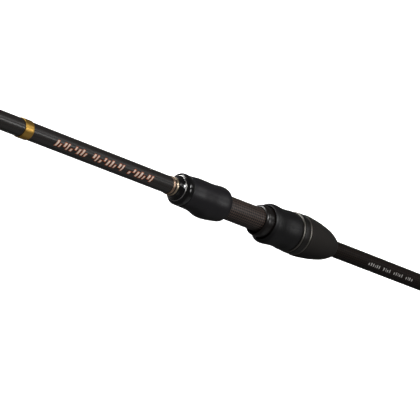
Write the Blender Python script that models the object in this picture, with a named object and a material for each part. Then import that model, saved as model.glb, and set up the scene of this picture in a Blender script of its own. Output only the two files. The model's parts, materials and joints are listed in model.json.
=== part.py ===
# Spinning rod in two sections, joined and lying along +X, its guides below it.
# Metres, +Z up. The origin is the centre of the butt cap's end face.
import math

import bmesh
import bpy
from mathutils import Vector

MM = 0.001

# Overall sizes
ROD_LENGTH = 2280 * MM
BLANK_BUTT_RADIUS = 5.85 * MM
BLANK_TIP_RADIUS = 0.70 * MM
BLANK_BUTT_WALL = 1.1 * MM
BLANK_TIP_WALL = 0.35 * MM

# Clearances: between pieces that meet, of a glued ring on the blank, and of pieces that turn or slide
FIT_GAP = 0.3 * MM
GLUE_GAP = 0.1 * MM
RUNNING_GAP = 0.25 * MM

# Butt grip, from the end
CAP_LENGTH = 7.0 * MM
CAP_FACE_RADIUS = 9.5 * MM
CAP_RADIUS = 12.0 * MM
CAP_PLUG_LENGTH = 10.0 * MM
TRIM_RING_WIDTH = 3.0 * MM
TRIM_RING_RADIUS = 11.6 * MM
GRIP_LENGTH = 75.0 * MM
GRIP_CHECK_LENGTH = 5.0 * MM
GRIP_CHECK_HEIGHT = 1.9 * MM
# (share of the length, height above the blank)
GRIP_SHAPE = (
    (0.0, 5.9 * MM),
    (0.04, 6.7 * MM),
    (0.12, 7.1 * MM),
    (0.26, 7.2 * MM),
    (0.42, 6.5 * MM),
    (0.6, 5.0 * MM),
    (0.78, 3.8 * MM),
    (0.92, 3.1 * MM),
    (1.0, 2.3 * MM),
)

# Trim on the bare blank between the butt grip and the reel seat
GOLD_BAND_X = 117.8 * MM
GOLD_BAND_WIDTH = 7.2 * MM
GOLD_BAND_HEIGHT = 0.48 * MM
SEAT_X = 241.05 * MM
GOLD_RING_WIDTH = 1.9 * MM
GOLD_RING_HEIGHT = 0.42 * MM
GOLD_RING_SPACE = 0.9 * MM
PALE_RING_WIDTH = 1.5 * MM
PALE_RING_HEIGHT = 0.6 * MM

# Reel seat: winding check, bright ring and rim at its rear
WINDING_CHECK_LENGTH = 3.4 * MM
WINDING_CHECK_HEIGHT = 0.75 * MM
WINDING_CHECK_FLARE = 2.4 * MM
BRIGHT_RING_WIDTH = 0.8 * MM
BRIGHT_RING_HEIGHT = 2.65 * MM
RIM_LENGTH = 4.4 * MM
RIM_FACE_HEIGHT = 2.8 * MM
RIM_HEIGHT = 4.47 * MM
RIM_WAIST = 0.25 * MM

# Reel seat pipe, centred on the blank by three arbors
ARBOR_WALL = 0.5 * MM
ARBOR_GAP = 0.15 * MM
ARBOR_LENGTH = 12.0 * MM
PIPE_WALL = 1.16 * MM
PIPE_REACH = 115.0 * MM
# The bare stretch that the reel's foot lies on stands a hair proud of the stretches under the hoods
BED_RISE = 0.05 * MM
BED_MARGIN = 0.3 * MM
THREAD_LENGTH = 26.0 * MM
THREAD_DEPTH = 0.5 * MM
THREAD_PITCH = 2.0 * MM
THREAD_RELIEF = 0.8 * MM

# Reel seat body with the fixed hood at its front. Heights are above the pipe.
BODY_LENGTH = 32.9 * MM
BODY_REAR_WALL = 1.9 * MM
# (share of the length, height on top, height underneath)
BODY_SHAPE = (
    (0.0, 2.4 * MM, 2.55 * MM),
    (0.09, 2.45 * MM, 2.6 * MM),
    (0.19, 2.75 * MM, 2.7 * MM),
    (0.29, 3.0 * MM, 2.9 * MM),
    (0.39, 2.95 * MM, 3.55 * MM),
    (0.49, 2.9 * MM, 4.4 * MM),
    (0.59, 2.8 * MM, 4.7 * MM),
    (0.69, 2.9 * MM, 4.5 * MM),
    (0.79, 3.2 * MM, 4.1 * MM),
    (0.885, 3.35 * MM, 3.55 * MM),
    (0.96, 3.0 * MM, 3.15 * MM),
    (1.0, 2.3 * MM, 2.8 * MM),
)
POCKET_DEPTH = 16.0 * MM
POCKET_SLOPE = 2.0 * MM
POCKET_END_HEIGHT = 1.4 * MM
POCKET_MOUTH_HEIGHT = 2.3 * MM

# Moving hood and the sleeve in it. Heights are above the pipe.
REEL_BED_LENGTH = 31.2 * MM
SLEEVE_LENGTH = 24.0 * MM
SLEEVE_HEIGHT = 2.25 * MM
SLEEVE_UNDER_HEIGHT = 2.75 * MM
SLEEVE_NOSE = 2.4 * MM
SLEEVE_POCKET_DEPTH = 18.0 * MM
SLEEVE_POCKET_HEIGHT = 2.0 * MM
SLEEVE_SHOWS = 6.0 * MM
HOOD_LENGTH = 22.5 * MM
HOOD_MOUTH_DEPTH = 2.5 * MM
HOOD_MOUTH_GAP = 0.75 * MM
HOOD_SHAPE = (
    (0.0, 3.3 * MM, 3.85 * MM),
    (0.03, 3.95 * MM, 4.6 * MM),
    (0.1, 4.6 * MM, 5.3 * MM),
    (0.24, 4.6 * MM, 5.2 * MM),
    (0.38, 4.25 * MM, 4.8 * MM),
    (0.52, 4.15 * MM, 4.5 * MM),
    (0.66, 4.35 * MM, 4.55 * MM),
    (0.8, 4.65 * MM, 4.9 * MM),
    (0.95, 4.6 * MM, 5.0 * MM),
    (1.0, 4.3 * MM, 4.7 * MM),
)

# Lock nut: a barrel on the pipe's thread, two pale rings, a collar and the foam cone
BARREL_LENGTH = 22.0 * MM
BARREL_WALL = 1.9 * MM
NUT_RING_WIDTH = 1.1 * MM
NUT_RING_HEIGHT = 5.25 * MM
COLLAR_LENGTH = 4.0 * MM
COLLAR_HEIGHT = 5.35 * MM
CONE_LENGTH = 29.2 * MM
# (share of the length, height above the pipe)
CONE_SHAPE = (
    (0.0, 5.3 * MM),
    (0.03, 5.55 * MM),
    (0.13, 5.4 * MM),
    (0.24, 5.05 * MM),
    (0.34, 4.67 * MM),
    (0.45, 4.2 * MM),
    (0.55, 3.6 * MM),
    (0.66, 2.9 * MM),
    (0.765, 2.04 * MM),
    (0.87, 0.75 * MM),
    (0.945, -0.35 * MM),
    (1.0, -1.3 * MM),
)
CONE_STEP_LENGTH = 3.0 * MM

# Put-over ferrule: the tip section's rear end slides over the butt section's front end
FERRULE_X = 1115.0 * MM
FERRULE_ENGAGEMENT = 60.0 * MM
FERRULE_GAP = 0.1 * MM
FERRULE_WALL = 0.8 * MM
FERRULE_TAPER = 30.0 * MM
FERRULE_END_SPACE = 3.0 * MM
FERRULE_WINDING_LENGTH = 14.0 * MM
WINDING_THICKNESS = 0.35 * MM

# Guides, from the butt end to the tip:
# (distance from the tip, ring radius, ring wire radius, height of the ring's centre, foot length, number of feet)
GUIDES = (
    (1330 * MM, 10.0 * MM, 1.1 * MM, 24.0 * MM, 14.0 * MM, 2),
    (1005 * MM, 6.0 * MM, 0.9 * MM, 15.0 * MM, 11.0 * MM, 2),
    (790 * MM, 5.0 * MM, 0.75 * MM, 11.0 * MM, 9.0 * MM, 1),
    (605 * MM, 4.0 * MM, 0.7 * MM, 8.5 * MM, 8.0 * MM, 1),
    (450 * MM, 3.0 * MM, 0.55 * MM, 6.5 * MM, 7.0 * MM, 1),
    (315 * MM, 3.0 * MM, 0.55 * MM, 6.5 * MM, 7.0 * MM, 1),
    (200 * MM, 3.0 * MM, 0.55 * MM, 6.5 * MM, 7.0 * MM, 1),
    (95 * MM, 3.0 * MM, 0.55 * MM, 6.5 * MM, 7.0 * MM, 1),
)
HOOP_WALL = 1.1 * MM
HOOP_THICKNESS = 0.9 * MM
FOOT_THICKNESS = 0.5 * MM
FOOT_GAP = 0.15 * MM
LEG_REACH = 0.55
WINDING_OVERLAP = 2.0 * MM

# Tip top: a closed tube on the blank's end, with its ring below and ahead of it
TIP_TUBE_LENGTH = 12.0 * MM
TIP_TUBE_WALL = 0.4 * MM
TIP_TUBE_END = 0.6 * MM
TIP_RING_RADIUS = 3.0 * MM
TIP_RING_WIRE = 0.55 * MM
TIP_RING_HEIGHT = 4.6 * MM
TIP_FOOT_LENGTH = 5.0 * MM
TIP_WINDING_LENGTH = 4.0 * MM

# Sides of the round pieces: handle and blank, large rings, small rings
SIDES = 24
RING_SIDES = 20
SMALL_RING_SIDES = 14
SMALL_RING_LIMIT = 4.5 * MM
MERGE_DISTANCE = 1e-6
SHARP_ANGLE = math.radians(38)

# (colour, roughness, metallic)
FINISHES = {
    "soft_rubber": ((0.015, 0.015, 0.016, 1), 0.75, 0.0),
    "eva_foam": ((0.020, 0.018, 0.016, 1), 0.9, 0.0),
    "carbon_blank": ((0.016, 0.014, 0.013, 1), 0.35, 0.0),
    "carbon_pipe": ((0.022, 0.019, 0.018, 1), 0.4, 0.0),
    "gold_trim": ((0.72, 0.46, 0.20, 1), 0.25, 1.0),
    "pale_trim": ((0.75, 0.70, 0.62, 1), 0.25, 1.0),
    "bright_trim": ((0.80, 0.80, 0.80, 1), 0.15, 1.0),
    "grey_trim": ((0.45, 0.44, 0.42, 1), 0.35, 1.0),
    "gloss_black": ((0.006, 0.006, 0.007, 1), 0.12, 0.0),
    "soft_touch": ((0.014, 0.013, 0.015, 1), 0.55, 0.0),
    "nut_plastic": ((0.010, 0.010, 0.010, 1), 0.45, 0.0),
    "arbor_foam": ((0.35, 0.33, 0.28, 1), 0.95, 0.0),
    "guide_frame_steel": ((0.10, 0.10, 0.11, 1), 0.3, 1.0),
    "guide_ceramic": ((0.02, 0.02, 0.022, 1), 0.15, 0.0),
    "thread_winding": ((0.010, 0.010, 0.012, 1), 0.1, 0.0),
}


def blank_radius(x):
    return BLANK_BUTT_RADIUS + (BLANK_TIP_RADIUS - BLANK_BUTT_RADIUS) * x / ROD_LENGTH


def blank_bore(x):
    wall = BLANK_BUTT_WALL + (BLANK_TIP_WALL - BLANK_BUTT_WALL) * x / ROD_LENGTH
    return blank_radius(x) - wall


# Places along the rod that follow from the sizes above
TRIM_RING_X = CAP_LENGTH + FIT_GAP
GRIP_X = TRIM_RING_X + TRIM_RING_WIDTH + FIT_GAP
GRIP_CHECK_X = GRIP_X + GRIP_LENGTH + FIT_GAP
PALE_RING_X = SEAT_X + GOLD_RING_WIDTH + GOLD_RING_SPACE
WINDING_CHECK_X = PALE_RING_X + PALE_RING_WIDTH + GLUE_GAP
BRIGHT_RING_X = WINDING_CHECK_X + WINDING_CHECK_LENGTH + GLUE_GAP
RIM_X = BRIGHT_RING_X + BRIGHT_RING_WIDTH + GLUE_GAP
BODY_X = RIM_X + RIM_LENGTH + FIT_GAP
BODY_MOUTH_X = BODY_X + BODY_LENGTH
PIPE_X = BODY_X + BODY_REAR_WALL
PIPE_BORE = blank_radius(PIPE_X) + ARBOR_WALL + 2 * ARBOR_GAP
PIPE_RADIUS = PIPE_BORE + PIPE_WALL
PIPE_END_X = PIPE_X + PIPE_REACH
THREAD_END_X = PIPE_END_X - THREAD_RELIEF
THREAD_X = THREAD_END_X - THREAD_LENGTH
SLEEVE_X = BODY_MOUTH_X + REEL_BED_LENGTH
HOOD_X = SLEEVE_X + SLEEVE_SHOWS
HOOD_END_X = HOOD_X + HOOD_LENGTH
REAR_NUT_RING_X = HOOD_END_X + FIT_GAP
COLLAR_X = REAR_NUT_RING_X + NUT_RING_WIDTH + FIT_GAP
FRONT_NUT_RING_X = COLLAR_X + COLLAR_LENGTH + FIT_GAP
CONE_X = FRONT_NUT_RING_X + NUT_RING_WIDTH + FIT_GAP
BARREL_X = REAR_NUT_RING_X
BARREL_BORE = PIPE_RADIUS + RUNNING_GAP
BARREL_RADIUS = BARREL_BORE + BARREL_WALL
FERRULE_MALE_END_X = FERRULE_X + FERRULE_ENGAGEMENT
TIP_TUBE_RADIUS = BLANK_TIP_RADIUS + GLUE_GAP + TIP_TUBE_WALL
TIP_HOOP_RADIUS = TIP_RING_RADIUS + FOOT_GAP + HOOP_WALL
TIP_RING_X = ROD_LENGTH - max(HOOP_THICKNESS / 2, TIP_RING_WIRE)
TIP_TUBE_X = TIP_RING_X - HOOP_THICKNESS / 2 - TIP_TUBE_LENGTH
BLANK_END_X = TIP_TUBE_X + TIP_TUBE_LENGTH - TIP_TUBE_END - FIT_GAP

materials = {}
for finish_name, (colour, roughness, metallic) in FINISHES.items():
    material = bpy.data.materials.new(finish_name)
    material.use_nodes = True
    shader = material.node_tree.nodes["Principled BSDF"]
    shader.inputs["Base Color"].default_value = colour
    shader.inputs["Roughness"].default_value = roughness
    shader.inputs["Metallic"].default_value = metallic
    materials[finish_name] = material

for old in list(bpy.data.objects):
    bpy.data.objects.remove(old, do_unlink=True)


def add_section(name, x):
    """An empty on the rod's axis, which carries the pieces of one moving section."""
    section = bpy.data.objects.new(name, None)
    section.location = (x, 0, 0)
    bpy.context.scene.collection.objects.link(section)
    return section


def add_piece(name, bm, finish, section):
    """Makes the mesh an object of its own, with its origin where its section's is."""
    bmesh.ops.remove_doubles(bm, verts=bm.verts, dist=MERGE_DISTANCE)
    bmesh.ops.recalc_face_normals(bm, faces=bm.faces)
    bmesh.ops.translate(bm, verts=bm.verts, vec=-section.location)
    mesh = bpy.data.meshes.new(name)
    bm.to_mesh(mesh)
    bm.free()
    mesh.materials.append(materials[finish])
    mesh.shade_smooth()
    mesh.set_sharp_from_angle(angle=SHARP_ANGLE)
    piece = bpy.data.objects.new(name, mesh)
    piece.parent = section
    bpy.context.scene.collection.objects.link(piece)
    return piece


def spin_outline(bm, outline, sides, centre_z=0.0):
    """Turns an outline of (x, radius) about an axis along X. A flat side lies straight below the axis."""
    start = math.pi / sides
    verts = [
        bm.verts.new((x, radius * math.sin(start), centre_z - radius * math.cos(start)))
        for x, radius in outline
    ]
    edges = [bm.edges.new(pair) for pair in zip(verts, verts[1:])]
    if outline[0][1] > 0:
        edges.append(bm.edges.new((verts[-1], verts[0])))
    bmesh.ops.spin(
        bm,
        geom=verts + edges,
        cent=(0, 0, centre_z),
        axis=(1, 0, 0),
        angle=math.tau,
        steps=sides,
        use_merge=True,
    )


def add_turned(name, outline, finish, section, sides=SIDES, centre_z=0.0):
    bm = bmesh.new()
    spin_outline(bm, outline, sides, centre_z)
    return add_piece(name, bm, finish, section)


def add_ring(name, x, width, bore, radius, finish, section):
    """A plain ring with its outer corners taken off."""
    chamfer = min(0.3 * width, 0.4 * (radius - bore))
    outline = (
        (x, bore),
        (x, radius - chamfer),
        (x + chamfer, radius),
        (x + width - chamfer, radius),
        (x + width, radius - chamfer),
        (x + width, bore),
    )
    return add_turned(name, outline, finish, section)


def add_blank_ring(name, x, width, height, finish):
    """A ring glued on the blank, as high above it as height says."""
    surface = blank_radius(x)
    return add_ring(name, x, width, surface + GLUE_GAP, surface + height, finish, butt_section)


def loop_of(bm, x, top, under, sides=SIDES):
    """A closed loop round the X axis. Its radius swells from top to under on the lower half."""
    loop = []
    for step in range(sides):
        angle = math.tau * (step + 0.5) / sides
        swell = max(0.0, math.cos(angle)) ** 2
        radius = top + (under - top) * swell
        loop.append(bm.verts.new((x, radius * math.sin(angle), -radius * math.cos(angle))))
    return loop


def join_loops(bm, loops, closed):
    """Faces between each loop and the next, and from the last back to the first if closed."""
    following = loops[1:] + loops[:1] if closed else loops[1:]
    for near, far in zip(loops, following):
        for step, corner in enumerate(near):
            after = (step + 1) % len(near)
            bm.faces.new((corner, near[after], far[after], far[step]))


def add_shell(name, stations, finish, section):
    """A closed shell from stations of (x, top radius, underside radius), outside first and then inside."""
    bm = bmesh.new()
    join_loops(bm, [loop_of(bm, *station) for station in stations], closed=True)
    return add_piece(name, bm, finish, section)


def add_thread_band(bm, start, end, root, crest):
    """A right-hand V thread as one helical band. It runs out into the root at both ends."""
    columns = math.ceil((end - start) / THREAD_PITCH + 2) * SIDES

    def thread_point(column, on_crest):
        x = start + THREAD_PITCH * (column / SIDES - 1 + 0.5 * on_crest)
        x = min(max(x, start), end)
        full = min(1.0, (x - start) / THREAD_PITCH, (end - x) / THREAD_PITCH)
        radius = root + (crest - root) * full * on_crest
        angle = math.tau * (column + 0.5) / SIDES
        return bm.verts.new((x, -radius * math.sin(angle), -radius * math.cos(angle)))

    roots = [thread_point(column, 0) for column in range(columns + 1)]
    crests = [thread_point(column, 1) for column in range(columns + 1)]
    for column in range(columns):
        bm.faces.new((roots[column], roots[column + 1], crests[column + 1], crests[column]))
        above = column + SIDES
        if above < columns:
            bm.faces.new((crests[column], crests[column + 1], roots[above + 1], roots[above]))


def add_butt_grip():
    add_turned(
        "butt_cap",
        (
            (0, 0),
            (0, CAP_FACE_RADIUS),
            (0.2 * CAP_LENGTH, 0.5 * (CAP_FACE_RADIUS + CAP_RADIUS)),
            (0.6 * CAP_LENGTH, CAP_RADIUS),
            (CAP_LENGTH, CAP_RADIUS),
            (CAP_LENGTH, blank_bore(0) - FIT_GAP),
            (CAP_LENGTH + CAP_PLUG_LENGTH, blank_bore(0) - FIT_GAP),
            (CAP_LENGTH + CAP_PLUG_LENGTH, 0),
        ),
        "soft_rubber",
        butt_section,
    )
    add_ring(
        "butt_trim_ring",
        TRIM_RING_X,
        TRIM_RING_WIDTH,
        blank_radius(TRIM_RING_X) + FIT_GAP,
        max(TRIM_RING_RADIUS, blank_radius(TRIM_RING_X) + 2 * FIT_GAP),
        "gold_trim",
        butt_section,
    )
    surface = blank_radius(GRIP_X)
    outside = [(GRIP_X + share * GRIP_LENGTH, surface + height) for share, height in GRIP_SHAPE]
    inside = [(GRIP_X + GRIP_LENGTH, surface + FIT_GAP), (GRIP_X, surface + FIT_GAP)]
    add_turned("butt_grip", outside + inside, "eva_foam", butt_section)
    surface = blank_radius(GRIP_CHECK_X)
    add_turned(
        "grip_winding_check",
        (
            (GRIP_CHECK_X, surface + GLUE_GAP),
            (GRIP_CHECK_X, surface + GRIP_CHECK_HEIGHT),
            (GRIP_CHECK_X + 0.4 * GRIP_CHECK_LENGTH, surface + GRIP_CHECK_HEIGHT),
            (GRIP_CHECK_X + GRIP_CHECK_LENGTH, surface + GOLD_RING_HEIGHT),
            (GRIP_CHECK_X + GRIP_CHECK_LENGTH, surface + GLUE_GAP),
        ),
        "gloss_black",
        butt_section,
    )


def add_butt_blank():
    start = CAP_LENGTH + FIT_GAP
    end = FERRULE_MALE_END_X
    add_turned(
        "butt_blank",
        (
            (start, blank_bore(start)),
            (start, blank_radius(start)),
            (end, blank_radius(end)),
            (end, blank_bore(end)),
        ),
        "carbon_blank",
        butt_section,
    )
    add_blank_ring(
        "gold_band", GOLD_BAND_X - GOLD_BAND_WIDTH / 2, GOLD_BAND_WIDTH, GOLD_BAND_HEIGHT, "gold_trim"
    )
    add_blank_ring("gold_ring", SEAT_X, GOLD_RING_WIDTH, GOLD_RING_HEIGHT, "gold_trim")
    add_blank_ring("pale_gold_ring", PALE_RING_X, PALE_RING_WIDTH, PALE_RING_HEIGHT, "pale_trim")


def add_seat_rear():
    """The pieces that finish the rear of the reel seat: a flared check, a bright ring and a thick rim."""
    surface = blank_radius(WINDING_CHECK_X)
    bore = surface + GLUE_GAP
    end = WINDING_CHECK_X + WINDING_CHECK_LENGTH
    add_turned(
        "seat_winding_check",
        (
            (WINDING_CHECK_X, bore),
            (WINDING_CHECK_X, surface + WINDING_CHECK_HEIGHT),
            (WINDING_CHECK_X + 0.6 * WINDING_CHECK_LENGTH, surface + 1.6 * WINDING_CHECK_HEIGHT),
            (end, surface + WINDING_CHECK_FLARE),
            (end, bore),
        ),
        "gloss_black",
        butt_section,
    )
    add_blank_ring("seat_bright_ring", BRIGHT_RING_X, BRIGHT_RING_WIDTH, BRIGHT_RING_HEIGHT, "bright_trim")
    surface = blank_radius(RIM_X)
    rim = surface + RIM_HEIGHT
    end = RIM_X + RIM_LENGTH
    add_turned(
        "seat_rim",
        (
            (RIM_X, surface + GLUE_GAP),
            (RIM_X, surface + RIM_FACE_HEIGHT),
            (RIM_X + 0.22 * RIM_LENGTH, rim - 0.5 * RIM_WAIST),
            (RIM_X + 0.35 * RIM_LENGTH, rim),
            (RIM_X + 0.7 * RIM_LENGTH, rim),
            (end, rim - RIM_WAIST),
            (end, surface + GLUE_GAP),
        ),
        "gloss_black",
        butt_section,
    )


def add_seat_body():
    """The matte body behind the reel. Its front end is the fixed hood, with a pocket under the pipe."""
    outside = [
        (BODY_X + share * BODY_LENGTH, PIPE_RADIUS + top, PIPE_RADIUS + under)
        for share, top, under in BODY_SHAPE
    ]
    bore = PIPE_RADIUS + FIT_GAP
    rear_bore = blank_radius(BODY_X) + GLUE_GAP
    pocket_x = BODY_MOUTH_X - POCKET_DEPTH
    shoulder_x = PIPE_X - FIT_GAP
    inside = [
        (BODY_MOUTH_X, bore, PIPE_RADIUS + POCKET_MOUTH_HEIGHT),
        (pocket_x + POCKET_SLOPE, bore, PIPE_RADIUS + POCKET_END_HEIGHT),
        (pocket_x, bore, bore),
        (shoulder_x, bore, bore),
        (shoulder_x, rear_bore, rear_bore),
        (BODY_X, rear_bore, rear_bore),
    ]
    add_shell("reel_seat_body", outside + inside, "soft_touch", butt_section)


def add_seat_pipe():
    """The pipe that the reel's foot lies on, threaded at its front end, and the arbors inside it."""
    root = PIPE_RADIUS - THREAD_DEPTH
    bm = bmesh.new()
    covered = PIPE_RADIUS - BED_RISE
    plain = [
        (PIPE_X, PIPE_BORE),
        (PIPE_X, covered),
        (BODY_MOUTH_X + BED_MARGIN, covered),
        (BODY_MOUTH_X + BED_MARGIN + BED_RISE, PIPE_RADIUS),
        (SLEEVE_X - BED_MARGIN - BED_RISE, PIPE_RADIUS),
        (SLEEVE_X - BED_MARGIN, covered),
        (THREAD_X - THREAD_DEPTH, covered),
        (THREAD_X, root),
    ]
    front = [(THREAD_END_X, root), (PIPE_END_X, root), (PIPE_END_X, PIPE_BORE), (PIPE_X, PIPE_BORE)]
    join_loops(bm, [loop_of(bm, x, radius, radius) for x, radius in plain], closed=False)
    add_thread_band(bm, THREAD_X, THREAD_END_X, root, PIPE_RADIUS)
    join_loops(bm, [loop_of(bm, x, radius, radius) for x, radius in front], closed=False)
    add_piece("reel_seat_pipe", bm, "carbon_pipe", butt_section)
    spare = PIPE_REACH - 3 * ARBOR_LENGTH
    for index, place in enumerate(("rear", "middle", "front")):
        x = PIPE_X + spare * (index + 0.5) / 3 + index * ARBOR_LENGTH
        outline = (
            (x, blank_radius(x) + ARBOR_GAP),
            (x, PIPE_BORE - ARBOR_GAP),
            (x + ARBOR_LENGTH, PIPE_BORE - ARBOR_GAP),
            (x + ARBOR_LENGTH, blank_radius(x) + ARBOR_GAP),
        )
        add_turned(f"seat_arbor_{place}", outline, "arbor_foam", butt_section)


def add_moving_hood():
    """The hood that slides on the pipe to hold the front of the reel's foot, and the glossy sleeve in its mouth."""
    bore = PIPE_RADIUS + RUNNING_GAP
    top = PIPE_RADIUS + SLEEVE_HEIGHT
    under = PIPE_RADIUS + SLEEVE_UNDER_HEIGHT
    pocket = PIPE_RADIUS + SLEEVE_POCKET_HEIGHT
    sleeve_end = SLEEVE_X + SLEEVE_LENGTH
    nose = []
    for step in range(5):
        turn = math.radians(90 * step / 4)
        back = SLEEVE_NOSE * (1 - math.sin(turn))
        drop = 1 - math.cos(turn)
        nose.append(
            (
                SLEEVE_X + back,
                top - (top - bore - 0.2 * MM) * drop,
                under - (under - pocket - 0.2 * MM) * drop,
            )
        )
    stations = nose[::-1] + [
        (sleeve_end, top, under),
        (sleeve_end, bore, bore),
        (SLEEVE_X + SLEEVE_POCKET_DEPTH, bore, bore),
        (SLEEVE_X + SLEEVE_POCKET_DEPTH - POCKET_SLOPE, bore, pocket),
        (SLEEVE_X, bore, pocket),
    ]
    add_shell("hood_sleeve", stations, "gloss_black", hood_section)
    outside = [
        (HOOD_X + share * HOOD_LENGTH, PIPE_RADIUS + top_height, PIPE_RADIUS + under_height)
        for share, top_height, under_height in HOOD_SHAPE
    ]
    cup_end = sleeve_end + FIT_GAP
    inside = [
        (HOOD_END_X, bore, bore),
        (cup_end, bore, bore),
        (cup_end, top + FIT_GAP, under + FIT_GAP),
        (HOOD_X + HOOD_MOUTH_DEPTH, top + FIT_GAP, under + FIT_GAP),
        (HOOD_X, top + HOOD_MOUTH_GAP, under + HOOD_MOUTH_GAP),
    ]
    add_shell("moving_hood", outside + inside, "soft_touch", hood_section)


def add_lock_nut():
    """The nut: a barrel that turns on the pipe's thread, with rings, a collar and a foam cone glued on it."""
    barrel = (
        (BARREL_X, BARREL_BORE),
        (BARREL_X, BARREL_RADIUS),
        (BARREL_X + BARREL_LENGTH, BARREL_RADIUS),
        (BARREL_X + BARREL_LENGTH, BARREL_BORE),
    )
    add_turned("lock_nut_barrel", barrel, "nut_plastic", nut_section)
    seat = BARREL_RADIUS + FIT_GAP
    ring_radius = PIPE_RADIUS + NUT_RING_HEIGHT
    add_ring("nut_ring_rear", REAR_NUT_RING_X, NUT_RING_WIDTH, seat, ring_radius, "grey_trim", nut_section)
    collar_radius = PIPE_RADIUS + COLLAR_HEIGHT
    add_ring("nut_collar", COLLAR_X, COLLAR_LENGTH, seat, collar_radius, "nut_plastic", nut_section)
    add_ring("nut_ring_front", FRONT_NUT_RING_X, NUT_RING_WIDTH, seat, collar_radius, "grey_trim", nut_section)
    outside = [(CONE_X + share * CONE_LENGTH, PIPE_RADIUS + height) for share, height in CONE_SHAPE]
    barrel_end = BARREL_X + BARREL_LENGTH + FIT_GAP
    pipe_end = max(barrel_end, PIPE_END_X) + FIT_GAP
    front_bore = blank_radius(pipe_end) + FIT_GAP
    inside = [
        (CONE_X + CONE_LENGTH, front_bore),
        (pipe_end, front_bore),
        (pipe_end, PIPE_RADIUS + RUNNING_GAP),
        (barrel_end, PIPE_RADIUS + RUNNING_GAP),
        (barrel_end, seat),
        (CONE_X, seat),
    ]
    add_turned("foregrip_cone", outside + inside, "eva_foam", nut_section)


def add_tip_blank():
    """The tip section's blank. Its rear end is the ferrule's socket."""
    socket_end = FERRULE_MALE_END_X + FERRULE_END_SPACE
    taper_end = socket_end + FERRULE_TAPER
    outline = (
        (FERRULE_X, blank_radius(FERRULE_X) + FERRULE_GAP),
        (FERRULE_X, blank_radius(FERRULE_X) + FERRULE_GAP + FERRULE_WALL),
        (socket_end, blank_radius(socket_end) + FERRULE_GAP + FERRULE_WALL),
        (taper_end, blank_radius(taper_end)),
        (BLANK_END_X, blank_radius(BLANK_END_X)),
        (BLANK_END_X, blank_bore(BLANK_END_X)),
        (socket_end, blank_bore(socket_end)),
        (socket_end, blank_radius(socket_end) + FERRULE_GAP),
    )
    add_turned("tip_blank", outline, "carbon_blank", tip_section)
    surface = blank_radius(FERRULE_X) + FERRULE_GAP + FERRULE_WALL + GLUE_GAP
    add_ring(
        "ferrule_winding",
        FERRULE_X,
        FERRULE_WINDING_LENGTH,
        surface,
        surface + WINDING_THICKNESS,
        "thread_winding",
        tip_section,
    )


def sides_for(radius):
    return SMALL_RING_SIDES if radius < SMALL_RING_LIMIT else RING_SIDES


def add_line_ring(name, x, centre_z, radius, wire, section):
    """A ceramic ring that the line runs through, round in section."""
    outline = [
        (x + wire * math.cos(turn), radius - wire + wire * math.sin(turn))
        for turn in (math.tau * step / 8 for step in range(8))
    ]
    add_turned(name, outline, "guide_ceramic", section, sides_for(radius), centre_z)


def add_frame(name, x, centre_z, radius, feet, heel, toe, foot_top, section):
    """A hoop round the ceramic ring, with a leg and a foot on each side listed in feet (-1 rear, 1 front)."""
    bm = bmesh.new()
    inner = radius + FOOT_GAP
    outer = inner + HOOP_WALL
    half = HOOP_THICKNESS / 2
    sides = sides_for(radius)
    spin_outline(bm, ((x - half, inner), (x - half, outer), (x + half, outer), (x + half, inner)), sides, centre_z)
    bmesh.ops.remove_doubles(bm, verts=bm.verts, dist=MERGE_DISTANCE)
    bmesh.ops.recalc_face_normals(bm, faces=bm.faces)
    foot_bottom = foot_top - FOOT_THICKNESS
    # the foot's corners stay inside the thread wound over it
    foot_width = 0.8 * math.sqrt(2 * FOOT_GAP * -foot_bottom)
    for side in feet:
        facing = [face for face in bm.faces if face.normal.x * side > 0.9]
        face = max(facing, key=lambda candidate: candidate.calc_center_median().z)
        width = min(abs(corner.co.y) for corner in face.verts)
        rise = centre_z + outer
        knee = 0.4 * heel
        sections = (
            (knee, rise + 0.3 * (foot_bottom - rise), rise + 0.3 * (foot_bottom - rise) - FOOT_THICKNESS, width),
            (heel, foot_top, foot_bottom, foot_width),
            (toe, foot_top, foot_bottom, 0.8 * foot_width),
        )
        for reach, upper, lower, half_width in sections:
            face = bmesh.ops.extrude_discrete_faces(bm, faces=[face])["faces"][0]
            corners = sorted(face.verts, key=lambda corner: corner.co.z)
            for corner, height in zip(corners, (lower, lower, upper, upper)):
                corner.co = (x + side * reach, math.copysign(half_width, corner.co.y), height)
    add_piece(name, bm, "guide_frame_steel", section)


def add_winding(name, start, end, surface, section):
    """Thread round the blank and a foot below it, so its centre lies a little below the blank's."""
    drop = (FOOT_GAP + FOOT_THICKNESS) / 2
    bore = surface + FOOT_GAP + drop
    outer = bore + WINDING_THICKNESS
    bevel = WINDING_THICKNESS
    outline = (
        (start, bore),
        (start, bore + 0.5 * WINDING_THICKNESS),
        (start + bevel, outer),
        (end - bevel, outer),
        (end, bore + 0.5 * WINDING_THICKNESS),
        (end, bore),
    )
    add_turned(name, outline, "thread_winding", section, SMALL_RING_SIDES, -drop)


def add_guides():
    for number, (from_tip, radius, wire, height, foot_length, foot_count) in enumerate(GUIDES, start=1):
        x = ROD_LENGTH - from_tip
        section = butt_section if x < FERRULE_X else tip_section
        name = f"guide_{number}"
        feet = (-1, 1) if foot_count == 2 else (1,)
        heel = LEG_REACH * height
        toe = heel + foot_length
        surface = blank_radius(x - toe)
        centre_z = -(surface + height)
        add_line_ring(f"{name}_ring", x, centre_z, radius, wire, section)
        add_frame(f"{name}_frame", x, centre_z, radius, feet, heel, toe, -(surface + FOOT_GAP), section)
        for side in feet:
            ends = sorted((x + side * (heel + 0.1 * foot_length), x + side * (toe + WINDING_OVERLAP)))
            place = "" if foot_count == 1 else ("_rear" if side < 0 else "_front")
            add_winding(f"{name}_winding{place}", *ends, surface, section)


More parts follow.
